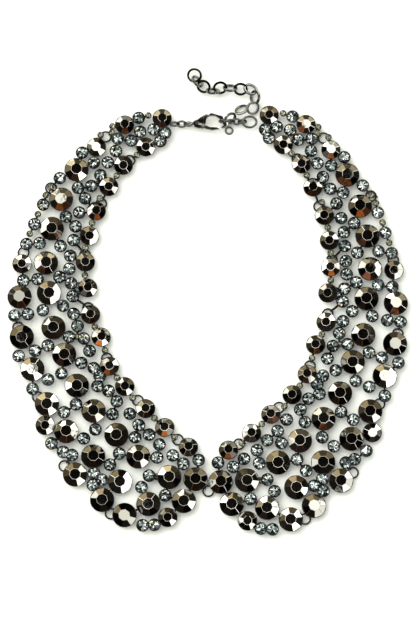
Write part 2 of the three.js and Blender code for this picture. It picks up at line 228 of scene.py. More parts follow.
mirrored = tent_sum(
    tent_weighed(tent_ramp(mirror_height, SIDE_LIGHT), side_share),
    tent_sum(
        tent_weighed(tent_ramp(mirror_height, CLASP_END_LIGHT), warm_share),
        tent_weighed(tent_ramp(mirror_height, CAMERA_END_LIGHT), camera_share),
    ),
)
folds = tent_nodes.new("ShaderNodeTexNoise")
folds.noise_dimensions = "4D"
folds.inputs["W"].default_value = 3
folds.inputs["Scale"].default_value = FOLDS["scale"]
folds.inputs["Detail"].default_value = 0
tent_links.new(direction, folds.inputs["Vector"])
fold_light = tent_nodes.new("ShaderNodeMapRange")
fold_light.inputs["From Min"].default_value = FOLDS["dark_below"]
fold_light.inputs["From Max"].default_value = FOLDS["light_above"]
fold_light.inputs["To Min"].default_value = FOLDS["darkest"]
tent_links.new(folds.outputs["Fac"], fold_light.inputs["Value"])
above_folds = tent_nodes.new("ShaderNodeMapRange")
above_folds.inputs["From Min"].default_value = FOLDS_END["from"]
above_folds.inputs["From Max"].default_value = FOLDS_END["to"]
tent_links.new(axes.outputs["Z"], above_folds.inputs["Value"])
fold_share = tent_math("MAXIMUM", fold_light.outputs["Result"], above_folds.outputs["Result"])
mirrored = tent_weighed(mirrored, fold_share)
windows = tent_nodes.new("ShaderNodeTexNoise")
windows.noise_dimensions = "4D"
windows.inputs["W"].default_value = 7
windows.inputs["Scale"].default_value = WINDOWS["scale"]
windows.inputs["Detail"].default_value = 0
tent_links.new(direction, windows.inputs["Vector"])
window_light = tent_nodes.new("ShaderNodeMapRange")
window_light.inputs["From Min"].default_value = WINDOWS["from"]
window_light.inputs["From Max"].default_value = WINDOWS["to"]
window_light.inputs["To Max"].default_value = WINDOWS["light"]
tent_links.new(windows.outputs["Fac"], window_light.inputs["Value"])
below_dome = tent_math("SUBTRACT", 1, above_folds.outputs["Result"])
seen_windows = tent_nodes.new("ShaderNodeCombineXYZ")
for part in seen_windows.inputs:
    tent_links.new(tent_math("MULTIPLY", window_light.outputs["Result"], below_dome), part)
mirrored = tent_sum(mirrored, seen_windows.outputs[0])
plain_light = tent_nodes.new("ShaderNodeBackground")
plain_light.inputs["Color"].default_value = (1, 1, 1, 1)
box_shares = [
    tent_math("MULTIPLY", axis, share) for axis, share in zip(axes.outputs, SOFT_BOX["towards"])
]
towards_box = tent_math("ADD", tent_math("ADD", box_shares[0], box_shares[1]), box_shares[2])
box_light = tent_math("POWER", tent_math("MAXIMUM", towards_box, 0), SOFT_BOX["power"])
box_light = tent_math("MULTIPLY", box_light, SOFT_BOX["light"])
tent_links.new(tent_math("ADD", box_light, TENT_LIGHT), plain_light.inputs["Strength"])
mirror_light = tent_nodes.new("ShaderNodeBackground")
tent_links.new(mirrored, mirror_light.inputs["Color"])
ray_kind = tent_nodes.new("ShaderNodeLightPath")
chosen = tent_nodes.new("ShaderNodeMixShader")
tent_links.new(ray_kind.outputs["Is Glossy Ray"], chosen.inputs["Fac"])
tent_links.new(plain_light.outputs[0], chosen.inputs[1])
tent_links.new(mirror_light.outputs[0], chosen.inputs[2])
tent_output = tent_nodes.new("ShaderNodeOutputWorld")
tent_links.new(chosen.outputs[0], tent_output.inputs["Surface"])
bpy.context.scene.view_settings.view_transform = "Standard"


# Where the stones sit
# Each half is eight rigid segments of stones in cups, soldered side by side. The large and
# medium stones are where the model has them. The crystals between them follow this chart.

MM = 0.001
STEP_ACROSS = 0.46 * MM
STEP_ALONG = 0.47 * MM
BIB_MIDDLE = 0.295 * MM  # the middle line between the halves, across
BIB_BOTTOM = -111.501 * MM  # the chart's bottom line, along
TABLE_HEIGHTS = {"large": 6.05 * MM, "medium": 5.45 * MM, "crystal": 4.65 * MM}
TABLE_REACH = 3.2 * MM  # corners this close belong to one table
SAME_STONE = 1.5 * MM

# Chart steps out from the middle line and up from the bottom line, segment by segment
CRYSTALS = {
    1: [(70.1, 415.8), (43.5, 400.6), (48.2, 392.2), (91.1, 394.7), (77.7, 392.8)],
    2: [(93, 382.3), (115.2, 370.4), (108.5, 357.9), (130.9, 344.9), (117.5, 346.9)],
    3: [(165.8, 328.1), (169.1, 289.2), (148.1, 286.4), (123.9, 334.3), (133.3, 306.1),
        (135.1, 292.3)],
    4: [(138.4, 276.6), (137.4, 248.9), (128.8, 244.5), (135.6, 235.9), (145.3, 226.3),
        (165.4, 221.9)],
    5: [(134.7, 218.4), (124.3, 193.6), (118.6, 181.3), (126.6, 169.3), (189.3, 176.3),
        (146.5, 158.6), (159.7, 152.6)],
    6: [(114.3, 164.2), (108.3, 156), (91.2, 131), (95.4, 118.3), (112.4, 103.2),
        (123.9, 94.2), (156.1, 89.4), (135.5, 77.8)],
    7: [(78.2, 118.7), (58.9, 98), (113.6, 59.7), (105.5, 53.3), (114.7, 48.3)],
    8: [(35.3, 77.4), (24.8, 69.1), (58.9, 57.4), (66.4, 46.1), (42.7, 37.9), (65.1, 8.5),
        (53.6, 9)],
}
SEED_STONES = {
    1: [(60.4, 418.5), (96.6, 407.4), (97, 401.4), (71.8, 378.4)],
    2: [(108.4, 398.7), (92.1, 357.4), (110, 350.5)],
    3: [(163.3, 337.8), (158.5, 345.5), (171.2, 318.6), (179.2, 298.8), (116.6, 309.8),
        (108.9, 334.8)],
    4: [(123, 284.7), (123.6, 257.1)],
    5: [(113.4, 205.4), (131, 195.7), (103.1, 181.9)],
    6: [(91, 154.8), (75.3, 134.4)],
    7: [(53.5, 114.5), (33.7, 95.5)],
    8: [(51.7, 57.2)],
}
NECK_MIDDLE = Vector((0, 0.0075))
SIDES = ("left", "right")


def mean(points):
    return sum(points, Vector((0, 0))) / len(points)


def modelled_stones(node):
    """The stones of a modelled segment, read off its level tables: kind and middle."""
    found = []
    corners = {tuple(round(value, 6) for value in vertex.co) for vertex in node.data.vertices}
    for kind, height in TABLE_HEIGHTS.items():
        loose = sorted(corner for corner in corners if abs(corner[2] - height) < 0.01 * MM)
        groups = []
        for corner in loose:
            place = Vector(corner[:2])
            near = [g for g in groups if min((place - p).length for p in g) < TABLE_REACH]
            group = [place] + [p for g in near for p in g]
            groups = [g for g in groups if g not in near] + [group]
        found += [(kind, mean(group)) for group in groups]
    return found


def mirrored_place(place):
    return Vector((2 * BIB_MIDDLE - place.x, place.y))


def chart_place(steps):
    return Vector((BIB_MIDDLE - steps[0] * STEP_ACROSS, BIB_BOTTOM + steps[1] * STEP_ALONG))


def right_lie(left_stones, right_stones):
    """How the right segment lies against the left one's mirror image: a function of place."""
    left = [mirrored_place(place) for kind, place in left_stones]
    right = [place for kind, place in right_stones]
    left_middle, right_middle = mean(left), mean(right)
    left_far = max((place - left_middle for place in left), key=lambda run: run.length)
    right_far = max((place - right_middle for place in right), key=lambda run: run.length)
    turn = Matrix.Rotation(left_far.angle_signed(right_far) * -1, 2)
    return lambda place: turn @ (mirrored_place(place) - left_middle) + right_middle


stones = {}
for number in CRYSTALS:
    left = modelled_stones(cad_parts[f"left_segment_{number}"])
    right = modelled_stones(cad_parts[f"right_segment_{number}"])
    to_right = right_lie(left, right)
    for kind, chart in (("crystal", CRYSTALS), ("seed", SEED_STONES)):
        for steps in chart[number]:
            place = chart_place(steps)
            left.append((kind, place))
            right.append((kind, to_right(place)))
    stones["left", number] = left
    stones["right", number] = right


# Cut stones
# Mirror-backed smoky glass, round, with a flat eight-cornered table and eight crown facets
# whose edges are a little polished down. Each is pressed into a cup of plated brass.

CUT_SIZES = {
    "large": {"radius": 5.4, "table": 2.62, "rise": 2.05, "wall": 0.45, "top": 5.8},
    "medium": {"radius": 4.3, "table": 2.1, "rise": 1.64, "wall": 0.4, "top": 5.25},
}
GIRDLE_SIDES = 40
FACETS = 8
CROWN_DROP = 0.3 * MM
POLISHED_EDGE = 0.13
EDGE_TILT = math.radians(3.8)  # stones at the bib's edges lean over the edge
BAND_HALF_WIDTH = 17 * MM
LOOSE_TILT = math.radians(2.2)
SMOKE_TONES = [(0.46, 0.455, 0.41), (0.40, 0.395, 0.35), (0.33, 0.325, 0.28), (0.26, 0.255, 0.22)]
STONE_SHARES = [1, 0.9, 0.75, 0.55]  # some stones are darker all over


def deselect():
    bpy.ops.object.select_all(action="DESELECT")


def turned(name, sides, rings):
    """A closed shape through level rings of radius and height, in millimetres."""
    radius, height = rings[0]
    deselect()
    bpy.ops.mesh.primitive_circle_add(vertices=sides, radius=radius * MM, fill_type="NGON")
    shape = bpy.context.object
    shape.name = name
    bpy.ops.object.mode_set(mode="EDIT")
    bpy.ops.mesh.select_all(action="SELECT")
    bpy.ops.transform.translate(value=(0, 0, height * MM))
    for next_radius, next_height in rings[1:]:
        climb = (0, 0, (next_height - height) * MM)
        bpy.ops.mesh.extrude_region_move(TRANSFORM_OT_translate={"value": climb})
        ratio = next_radius / radius
        bpy.ops.transform.resize(
            value=(ratio, ratio, 1), center_override=(0, 0, next_height * MM)
        )
        radius, height = next_radius, next_height
    bpy.ops.mesh.select_all(action="SELECT")
    bpy.ops.mesh.normals_make_consistent(inside=False)
    bpy.ops.object.mode_set(mode="OBJECT")
    return shape


def select_edges(shape, wanted):
    """Selects the edges of a shape in edit mode that a test on their two ends picks."""
    bpy.ops.mesh.select_mode(type="EDGE")
    bpy.ops.mesh.select_all(action="DESELECT")
    work = bmesh.from_edit_mesh(shape.data)
    for edge in work.edges:
        edge.select_set(wanted(*[vertex.co / MM for vertex in edge.verts]))
    bmesh.update_edit_mesh(shape.data)


def cut_stone(name, radius, table, rise, wall, top):
    """A stone with its table at the top height, cut facet by facet from a turned blank."""
    girdle = top - rise
    rings = [(radius * 0.8, girdle - wall * 2), (radius, girdle - wall), (radius, top)]
    shape = turned(name, GIRDLE_SIDES, rings)
    apothem = table * math.cos(math.pi / FACETS)
    slope = math.atan2(rise, radius * 0.985 - apothem)
    bpy.ops.object.mode_set(mode="EDIT")
    for facet in range(FACETS):
        angle = facet * 2 * math.pi / FACETS
        outward = Vector((math.cos(angle), math.sin(angle), 0))
        bpy.ops.mesh.select_all(action="SELECT")
        bpy.ops.mesh.bisect(
            plane_co=(outward * apothem + Vector((0, 0, top))) * MM,
            plane_no=outward * math.sin(slope) + Vector((0, 0, math.cos(slope))),
            use_fill=True,
            clear_outer=True,
        )
    select_edges(shape, lambda a, b: max(a.z, b.z) > top - 0.01)
    bpy.ops.mesh.bevel(offset=POLISHED_EDGE * MM / 2, segments=1, affect="EDGES")
    bpy.ops.object.mode_set(mode="OBJECT")
    return shape


def new_finish(name, **values):
    """A material and its shader, with plain values on the shader's own sockets."""
    material = bpy.data.materials.new(name)
    material.use_nodes = True
    shader = material.node_tree.nodes["Principled BSDF"]
    for socket, value in values.items():
        shader.inputs[socket.replace("_", " ")].default_value = value
    return material, shader


def polish_group():
    """Fine marks of handling: how rough a polished surface is, and its faint waves."""
    group = bpy.data.node_groups.new("polish_marks", "ShaderNodeTree")
    for name, kind in (("Scale", "Float"), ("Smoothest", "Float"), ("Roughest", "Float")):
        group.interface.new_socket(name, in_out="INPUT", socket_type="NodeSocket" + kind)
    group.interface.new_socket("Waves", in_out="INPUT", socket_type="NodeSocketFloat")
    group.interface.new_socket("Roughness", in_out="OUTPUT", socket_type="NodeSocketFloat")
    group.interface.new_socket("Normal", in_out="OUTPUT", socket_type="NodeSocketVector")
    group.interface.new_socket("Mask", in_out="OUTPUT", socket_type="NodeSocketFloat")
    nodes, links = group.nodes, group.links
    given = nodes.new("NodeGroupInput")
    result = nodes.new("NodeGroupOutput")
    place = nodes.new("ShaderNodeTexCoord")
    marks = nodes.new("ShaderNodeTexNoise")
    marks.inputs["Detail"].default_value = 2
    spread = nodes.new("ShaderNodeMapRange")
    spread.inputs["From Min"].default_value = 0.35
    spread.inputs["From Max"].default_value = 0.7
    relief = nodes.new("ShaderNodeBump")
    relief.inputs["Distance"].default_value = 0.06 * MM
    links.new(place.outputs["Object"], marks.inputs["Vector"])
    links.new(given.outputs["Scale"], marks.inputs["Scale"])
    links.new(marks.outputs["Fac"], spread.inputs["Value"])
    links.new(given.outputs["Smoothest"], spread.inputs["To Min"])
    links.new(given.outputs["Roughest"], spread.inputs["To Max"])
    links.new(given.outputs["Waves"], relief.inputs["Strength"])
    links.new(marks.outputs["Fac"], relief.inputs["Height"])
    links.new(spread.outputs["Result"], result.inputs["Roughness"])
    links.new(relief.outputs["Normal"], result.inputs["Normal"])
    links.new(marks.outputs["Fac"], result.inputs["Mask"])
    return group


polish_marks = polish_group()


def add_polish(material, shader, scale, smoothest, roughest, waves):
    """The polish marks on a material, with their own scale and strength."""
    marks = material.node_tree.nodes.new("ShaderNodeGroup")
    marks.node_tree = polish_marks
    values = {"Scale": scale, "Smoothest": smoothest, "Roughest": roughest, "Waves": waves}
    for socket, value in values.items():
        marks.inputs[socket].default_value = value
    material.node_tree.links.new(marks.outputs["Roughness"], shader.inputs["Roughness"])
    if waves:
        material.node_tree.links.new(marks.outputs["Normal"], shader.inputs["Normal"])
    return marks


def tint_from_facets(material, shader):
    """Takes a stone's colour from its facets' tones, on the crystals partly painted sparkle and
    glints.
    """
    tint = material.node_tree.nodes.new("ShaderNodeAttribute")
    tint.attribute_name = "facet_tone_and_sparkle"
    material.node_tree.links.new(tint.outputs["Color"], shader.inputs["Base Color"])


smoky_glass, smoky_shader = new_finish("smoky_mirror_glass", Metallic=1.0)
tint_from_facets(smoky_glass, smoky_shader)
add_polish(smoky_glass, smoky_shader, scale=260, smoothest=0.02, roughest=0.05, waves=0.25)

cut_stones = {kind: cut_stone(f"{kind}_stone", **size) for kind, size in CUT_SIZES.items()}
for shape in cut_stones.values():
    shape.data.materials.append(smoky_glass)


def leaning(place, segment_middle, chance):
    """The lean of a stone: over the bib's nearest edge, and a little by chance."""
    out = (segment_middle - NECK_MIDDLE).normalized()
    share = max(-1, min(1, (place - segment_middle).dot(out) / BAND_HALF_WIDTH))
    return Vector((out.x * share * EDGE_TILT + chance.gauss(0, LOOSE_TILT),
                   out.y * share * EDGE_TILT + chance.gauss(0, LOOSE_TILT)))


def set_down(shape, place, lean, turn, drop=0):
    """A copy of a finished shape, turned about itself, leaned and set on its place."""
    piece = bpy.data.objects.new(shape.name, shape.data.copy())
    bpy.context.collection.objects.link(piece)
    middle = Vector((place.x, place.y, -drop))
    height = Vector((0, 0, 3.5 * MM))
    piece.data.transform(
        Matrix.Translation(middle + height)
        @ Matrix.Rotation(lean.length, 4, Vector((-lean.y, lean.x, 0)))
        @ Matrix.Rotation(turn, 4, "Z")
        @ Matrix.Translation(-height)
    )
    return piece


def tint_facets(piece, chance, share, tones, *outer):
    """Gives each facet of a stone one of its tones, and those of its crown one of the outer."""
    tint = piece.data.color_attributes.new("facet_tone_and_sparkle", "FLOAT_COLOR", "CORNER")
    top = max(face.center.z for face in piece.data.polygons)
    for face in piece.data.polygons:
        crown = outer and top - face.center.z > CROWN_DROP
        tone = [value * share for value in chance.choice(outer[0] if crown else tones)]
        for corner in face.loop_indices:
            tint.data[corner].color = (*tone, 1)


def gather(name, parts):
    """Joins parts into one piece of that name."""
    deselect()
    for part in parts:
        part.select_set(True)
    bpy.context.view_layer.objects.active = parts[0]
    if len(parts) > 1:
        bpy.ops.object.join()
    piece = bpy.context.object
    piece.name = piece.data.name = name
    return piece


def fasten(piece, slot, *nodes):
    """Makes a finished piece ride with the necklace in place of its modelled nodes."""
    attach(piece, "necklace")
    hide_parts(*nodes)


leans = {}
for (side, number), placed_stones in stones.items():
    chance = random.Random(100 * number + SIDES.index(side))
    middle = mean([place for kind, place in placed_stones])
    parts = []
    for order, (kind, place) in enumerate(placed_stones):
        lean = leaning(place, middle, chance)
        leans[side, number, order] = lean
        if kind not in cut_stones:
            continue
        part = set_down(cut_stones[kind], place, lean, chance.uniform(0, math.pi))
        tint_facets(part, chance, chance.choice(STONE_SHARES), SMOKE_TONES)
        parts.append(part)
    piece = gather(f"{side}_cut_stones_{number}", parts)
    fasten(piece, "stones_and_settings", f"{side}_segment_{number}")


# Crystals and seed stones
# Small grey-blue crystals with a star of facets in a table, and olive seed stones. Foil lies
# behind the crystals. Each facet takes a tone at random: the white and pale crystal tones are
# painted sparkle, the seed stones' tones are lighter and darker olive, and now and then a crown
# facet is a painted warm glint, the reflection of something warm.

# Facet tones of the crystals: the white ones are painted sparkle; the rest are grey-blue and
# near-black.
CRYSTAL_TONES_AND_SPARKLE = (
    [(0.92, 0.95, 0.87)] * 4
    + [(0.31, 0.38, 0.35)] * 3
    + [(0.09, 0.125, 0.115)] * 4
    + [(0.008, 0.011, 0.009)] * 9
)
# Tones of the crystals' crowns: the pale ones are painted sparkle; the rest are grey-blue and
# near-black.
CROWN_TONES_AND_SPARKLE = (
    [(0.60, 0.68, 0.64)] * 2
    + [(0.12, 0.16, 0.16)] * 3
    + [(0.03, 0.04, 0.04)] * 4
    + [(0.008, 0.010, 0.010)] * 8
)
# A painted warm glint: a facet coloured as the reflection of something warm.
PAINTED_GLINT_TONES = [(0.55, 0.42, 0.10)]
SEED_TONES = [
    (0.12, 0.125, 0.065), (0.42, 0.43, 0.28), (0.035, 0.035, 0.02), (0.012, 0.012, 0.008)
]
# How often a stone's crown tones include the painted warm glint, per facet.
PAINTED_GLINT_CHANCE = 0.03
CRYSTAL_SIZES = {
    "crystal": {"radius": 2.5, "table": 1.6, "rise": 0.7, "base": 2.6, "top": 4.5},
    "seed": {"radius": 1.25, "table": 0.7, "rise": 0.4, "base": 2.6, "top": 3.9},
}
STAR_DIP = 0.12  # how far the table's star is let in


def crystal_stone(name, radius, table, rise, base, top):
    """A small brilliant: girdle, crown cut in triangles, and a table let in as a star."""
    shape = turned(name, FACETS, [(radius * 0.8, base), (radius, top - rise), (table, top)])
    bpy.ops.object.mode_set(mode="EDIT")
    select_edges(shape, lambda a, b: min(a.z, b.z) > top - 0.01)
    bpy.ops.mesh.subdivide(number_cuts=1)
    bpy.ops.mesh.select_mode(type="FACE")
    bpy.ops.mesh.poke(offset=-STAR_DIP * MM)
    select_edges(shape, lambda a, b: abs(a.z - b.z) < 0.01 and abs(a.z - top + rise) < 0.01)
    bpy.ops.mesh.subdivide(number_cuts=1)
    work = bmesh.from_edit_mesh(shape.data)
    for vertex in work.verts:
        level = abs(vertex.co.z / MM - top + rise) < 0.01
        if level:
            flat = Vector((vertex.co.x, vertex.co.y, 0)).normalized() * radius * MM
            vertex.co.x, vertex.co.y = flat.x, flat.y
    bmesh.update_edit_mesh(shape.data)
    bpy.ops.mesh.select_all(action="SELECT")
    bpy.ops.mesh.quads_convert_to_tris(ngon_method="BEAUTY")
    bpy.ops.mesh.normals_make_consistent(inside=False)
    bpy.ops.object.mode_set(mode="OBJECT")
    return shape


foiled_glass_painted_sparkle, foiled_shader = new_finish(
    "foiled_crystal_painted_sparkle", Metallic=0.3, Specular_IOR_Level=0.25, Coat_Weight=0.12,
    Coat_Roughness=0.03,
)
tint_from_facets(foiled_glass_painted_sparkle, foiled_shader)
add_polish(foiled_glass_painted_sparkle, foiled_shader, scale=900, smoothest=0.08, roughest=0.2, waves=0)

crystals = {
    kind: crystal_stone(f"{kind}_stone", **size) for kind, size in CRYSTAL_SIZES.items()
}
for shape in crystals.values():
    shape.data.materials.append(foiled_glass_painted_sparkle)

STONE_RADII = {"large": 5.5 * MM, "medium": 4.4 * MM, "crystal": 2.85 * MM, "seed": 1.6 * MM}
TUCK = 1.3 * MM


def tucked(order, placed_stones):
    """How far a crystal sits lower where a cut stone's edge reaches over it."""
    kind, place = placed_stones[order]
    for other_kind, other in placed_stones:
        reach = STONE_RADII[other_kind] + STONE_RADII[kind] - 0.9 * MM
        if other_kind in cut_stones and (place - other).length < reach:
            return TUCK
    return 0


for (side, number), placed_stones in stones.items():
    chance = random.Random(200 * number + SIDES.index(side))
    parts = []
    for order, (kind, place) in enumerate(placed_stones):
        if kind not in crystals:
            continue
        lean = leans[side, number, order]
        turn = chance.uniform(0, math.pi)
        part = set_down(crystals[kind], place, lean, turn, tucked(order, placed_stones))
        tones, crown = CRYSTAL_TONES_AND_SPARKLE, CROWN_TONES_AND_SPARKLE
        if kind == "seed":
            tones = crown = SEED_TONES
        # Now and then the crown also draws from the painted warm glint.
        if chance.random() < PAINTED_GLINT_CHANCE * FACETS:
            crown = crown + PAINTED_GLINT_TONES
        tint_facets(part, chance, 1, tones, crown)
        parts.append(part)
    piece = gather(f"{side}_crystals_{number}", parts)
    fasten(piece, "stones_and_settings", f"{side}_segment_{number}")


# Settings
# Cups of gunmetal-plated brass. The stone's girdle sits behind the rolled rim. Crystals are
# held by four claws. Short bars of solder join the cups from below, and wire eyes under the
# edge stones take the jump rings.

CUP_SIDES = {"large": 40, "medium": 36, "crystal": 16, "seed": 12}
CUP_RINGS = {
    "large": [(4.3, 1.75), (4.6, 1.9), (5.4, 3.2), (5.6, 3.45), (5.62, 3.72), (5.52, 3.88),
              (5.36, 3.84), (5.25, 3.4)],
    "medium": [(3.4, 1.75), (3.6, 1.9), (4.3, 3.1), (4.5, 3.35), (4.51, 3.62), (4.42, 3.76),
               (4.26, 3.72), (4.15, 3.3)],
    "crystal": [(1.5, 1.75), (2.7, 3.0), (3.0, 3.5), (2.98, 3.9), (2.54, 3.92), (2.42, 3.4)],
    "seed": [(0.9, 1.75), (1.4, 2.7), (1.6, 3.1), (1.55, 3.5), (1.3, 3.45), (1.2, 3.0)],
}
CLAWS = {
    "crystal": {"radius": 2.68, "width": 0.62, "foot": 3.4, "tip": 4.35, "count": 4},
    "seed": {"radius": 1.42, "width": 0.42, "foot": 3.0, "tip": 3.8, "count": 4},
}


def claw(width, foot, tip):
    """One claw: a small block whose head is drawn in and bent over the stone."""
    deselect()
    bpy.ops.mesh.primitive_cube_add(size=width * MM)
    shape = bpy.context.object
    bpy.ops.object.mode_set(mode="EDIT")
    height = (tip - foot) * MM
    bpy.ops.transform.resize(value=(0.7, 1, height / (width * MM)))
    bpy.ops.transform.translate(value=(0, 0, foot * MM + height / 2))
    select_edges(shape, lambda a, b: min(a.z, b.z) > tip - 0.01)
    bpy.ops.transform.translate(value=(-0.22 * MM, 0, 0))
    bpy.ops.transform.resize(value=(0.8, 0.6, 1))
    bpy.ops.mesh.bevel(offset=0.12 * MM, segments=1, affect="EDGES")
    bpy.ops.object.mode_set(mode="OBJECT")
    return shape


gunmetal, gunmetal_shader = new_finish("gunmetal_plate", Metallic=1.0)
gunmetal_marks = add_polish(
    gunmetal, gunmetal_shader, scale=450, smoothest=0.16, roughest=0.34, waves=0.4
)
PLATE_TONES = ((0.007, 0.007, 0.007, 1), (0.032, 0.033, 0.032, 1))
plate_mix = gunmetal.node_tree.nodes.new("ShaderNodeMix")
plate_mix.data_type = "RGBA"
for socket, tone in zip([s for s in plate_mix.inputs if s.type == "RGBA"], PLATE_TONES):
    socket.default_value = tone
gunmetal.node_tree.links.new(gunmetal_marks.outputs["Mask"], plate_mix.inputs[0])
plate_color = [s for s in plate_mix.outputs if s.type == "RGBA"][0]
gunmetal.node_tree.links.new(plate_color, gunmetal_shader.inputs["Base Color"])

SMOOTH_BELOW = math.radians(40)


def smooth(shape):
    deselect()
    shape.select_set(True)
    bpy.context.view_layer.objects.active = shape
    bpy.ops.object.shade_smooth_by_angle(angle=SMOOTH_BELOW)


cups = {}
for kind, rings in CUP_RINGS.items():
    cup = turned(f"{kind}_cup", CUP_SIDES[kind], rings)
    smooth(cup)
    parts = [cup]
    if kind in CLAWS:
        sizes = CLAWS[kind]
        first = claw(sizes["width"], sizes["foot"], sizes["tip"])
        for order in range(sizes["count"]):
            copy = bpy.data.objects.new("claw", first.data.copy())
            bpy.context.collection.objects.link(copy)
            angle = (order + 0.5) * 2 * math.pi / sizes["count"]
            copy.data.transform(
                Matrix.Rotation(angle, 4, "Z")
                @ Matrix.Translation((sizes["radius"] * MM, 0, 0))
            )
            parts.append(copy)
        bpy.data.objects.remove(first)
    cups[kind] = gather(f"{kind}_cup", parts)
    cups[kind].data.materials.clear()
    cups[kind].data.materials.append(gunmetal)

BAR_WIDTH = 1.0
BAR_HEIGHT = 0.9
CUP_BACK = 1.75


def solder_bar(start, end):
    """A flat bar with worn edges from one cup's middle to the next, under both."""
    run = end - start
    deselect()
    bpy.ops.mesh.primitive_cube_add(size=MM)
    bar = bpy.context.object
    bpy.ops.object.mode_set(mode="EDIT")
    bpy.ops.transform.resize(value=(run.length / MM, BAR_WIDTH, BAR_HEIGHT))
    select_edges(bar, lambda a, b: abs(a.x - b.x) > 0.01)
    bpy.ops.mesh.bevel(offset=0.22 * MM, segments=2, affect="EDGES")
    bpy.ops.object.mode_set(mode="OBJECT")
    middle = (start + end) / 2
    bar.data.transform(
        Matrix.Translation((middle.x, middle.y, (CUP_BACK + BAR_HEIGHT / 2) * MM))
        @ Matrix.Rotation(math.atan2(run.y, run.x), 4, "Z")
    )
    bar.data.materials.append(gunmetal)
    return bar


def soldered(placed_stones):
    """Pairs of neighbours that are joined: the shortest set of gaps, and all cups that touch."""
    def gap(a, b):
        (kind_a, place_a), (kind_b, place_b) = placed_stones[a], placed_stones[b]
        return (place_a - place_b).length - STONE_RADII[kind_a] - STONE_RADII[kind_b]

    joined, loose, pairs = [0], list(range(1, len(placed_stones))), set()
    while loose:
        held, free = min(((a, b) for a in joined for b in loose), key=lambda pair: gap(*pair))
        pairs.add((held, free))
        joined.append(free)
        loose.remove(free)
    everyone = range(len(placed_stones))
    for a in everyone:
        for b in everyone:
            if a < b and (b, a) not in pairs and gap(a, b) < SOLDERED_GAP:
                pairs.add((a, b))
    return sorted(pairs)


SOLDERED_GAP = 0.35 * MM
RING_RADIUS = 2.4
RING_WIRE = 0.4
RING_HEIGHT = 1.05
FRONT_LINK_RISE = 2.2  # how far the worn front link has slid up between the halves
EYE_RADIUS = 0.84
EYE_WIRE = 0.2


ROLLED_CORNER = 0.8  # how sharp the corners of rolled wire are, from 0 round to 1


def wire_ring(name, long, wide, wire, around=32, across=10, rolled=0):
    """A ring of wire, flat on its middle, drawn out to its half length and width. Rolled
    wire has flat sides with slanting edges, and that height as a share of its width."""
    deselect()
    bpy.ops.mesh.primitive_torus_add(
        major_radius=long * MM, minor_radius=wire * MM, major_segments=around,
        minor_segments=across,
    )
    ring = bpy.context.object
    ring.name = name
    for vertex in ring.data.vertices:
        flat = Vector((vertex.co.x, vertex.co.y, 0))
        line = flat.normalized() * long * MM
        if rolled:
            out, up = flat.length - long * MM, vertex.co.z
            square = (wire * MM / max(abs(out), abs(up))) ** ROLLED_CORNER
            flat = flat.normalized() * (long * MM + out * square)
            vertex.co = (flat.x, flat.y, up * square * rolled)
        vertex.co.y += line.y * (wide / long - 1)
    smooth(ring)
    ring.data.materials.clear()
    ring.data.materials.append(gunmetal)
    return ring


def ring_places(side, number):
    """Middles of the jump rings that a segment hangs in."""
    places = []
    for joint in (number - 1, number):
        for edge in ("neck", "outer"):
            name = f"{side}_{edge}_jump_ring_{joint}"
            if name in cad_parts:
                low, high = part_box(name)
                places.append(((low + high) / 2).to_2d())
    return places


eye = wire_ring("eye", EYE_RADIUS, EYE_RADIUS, EYE_WIRE, around=16, across=6)


def ring_eye(placed_stones, ring_place):
    """The wire eye that holds a jump ring under the nearest stone, and its strip if it has one."""
    kind, stone = min(placed_stones, key=lambda one: (one[1] - ring_place).length)
    toward = (stone - ring_place).normalized()
    place = ring_place + toward * RING_RADIUS * MM
    copy = bpy.data.objects.new("eye", eye.data.copy())
    bpy.context.collection.objects.link(copy)
    copy.data.transform(
        Matrix.Translation((place.x, place.y, RING_HEIGHT * MM))
        @ Matrix.Rotation(math.atan2(toward.y, toward.x), 4, "Z")
        @ Matrix.Rotation(math.pi / 2, 4, "X")
    )
    parts = [copy]
    if (stone - place).length > STONE_RADII[kind] * 0.5:
        parts.append(solder_bar(stone, place - toward * EYE_RADIUS * MM))
    return parts


for (side, number), placed_stones in stones.items():
    parts = []
    for order, (kind, place) in enumerate(placed_stones):
        lean = leans[side, number, order]
        turn = order * 1.3
        parts.append(set_down(cups[kind], place, lean, turn, tucked(order, placed_stones)
                              if kind in crystals else 0))
    for first, second in soldered(placed_stones):
        parts.append(solder_bar(placed_stones[first][1], placed_stones[second][1]))
    for ring_place in ring_places(side, number):
        parts += ring_eye(placed_stones, ring_place)
    if number == len(CRYSTALS):
        low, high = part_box("centre_link")
        front = ((low + high) / 2).to_2d() + Vector((0, FRONT_LINK_RISE * MM))
        parts += ring_eye(placed_stones, front)
    piece = gather(f"{side}_settings_{number}", parts)
    fasten(piece, "stones_and_settings", f"{side}_segment_{number}")
for shape in [*cut_stones.values(), *crystals.values(), *cups.values(), eye]:
    bpy.data.objects.remove(shape)


# Jump rings
# Round brass wire closed to a ring and plated, one at each edge of every joint between two
# segments, and one that joins the two halves at the front.

BRIGHT_TONES = ((0.035, 0.035, 0.033, 1), (0.13, 0.13, 0.125, 1))


def tinted_plate(name, tones, **marks):
    """The gunmetal plate with other tones and marks, as on links, chain and clasp."""
    plate = gunmetal.copy()
    plate.name = name
    for node in plate.node_tree.nodes:
        if node.type == "MIX":
            for socket, tone in zip([s for s in node.inputs if s.type == "RGBA"], tones):
                socket.default_value = tone
        if node.type == "GROUP":
            for socket, value in marks.items():
                node.inputs[socket].default_value = value
    return plate


bright_plate = tinted_plate("bright_plate", BRIGHT_TONES, Smoothest=0.06, Roughest=0.16)


def finished_wire(piece, name, matrix, plate, slot, *nodes):
    """Sets a wire ring on its place as a piece of its own."""
    piece.name = piece.data.name = name
    piece.data.transform(matrix)
    piece.data.materials.clear()
    piece.data.materials.append(plate)
    if nodes:
        fasten(piece, slot, *nodes)
    else:
        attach(piece, "necklace")
    return piece


